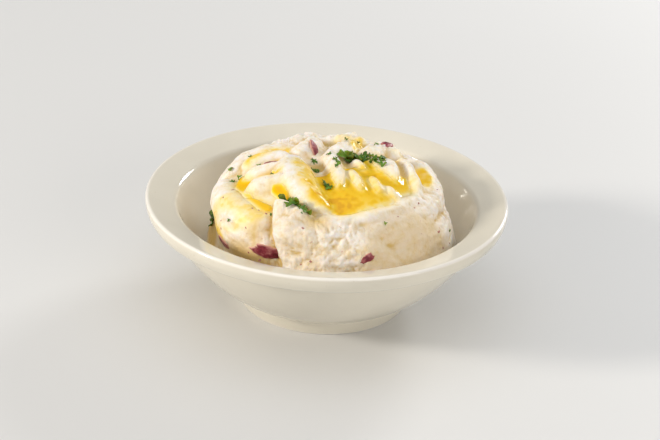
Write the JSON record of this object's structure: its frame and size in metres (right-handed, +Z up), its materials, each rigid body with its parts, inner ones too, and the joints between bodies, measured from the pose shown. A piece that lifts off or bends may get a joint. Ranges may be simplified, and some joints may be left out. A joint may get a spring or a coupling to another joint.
{
  "type": "mashed potato side",
  "caption": "Mound of skin-on mashed potato with melted butter and parsley, served in its own round glazed bowl with a wide rim and a turned foot.",
  "frame": {"origin": "centre of the foot's underside, on the table", "axes": "+Z up, -Y towards the side shown as the front, +X to the right as seen from the front"},
  "size_m": [0.165, 0.165, 0.0715],
  "materials": {
    "glazed_stoneware": "clear gloss glaze over cream stoneware",
    "mashed_potato": "moist, soft and crumbly",
    "red_potato_skin": "thin waxy skin",
    "melted_butter": "clear wet gloss",
    "parsley": "fresh chopped leaf"
  },
  "bodies": {
    "root": {"bowl": "glazed_stoneware", "mash": "mashed_potato", "skin_front_left": "red_potato_skin", "skin_front_right": "red_potato_skin", "skin_crest": "red_potato_skin", "skin_back_right": "red_potato_skin", "skin_ridge": "red_potato_skin", "skin_side_left": "red_potato_skin"}
  },
  "joints": []
}
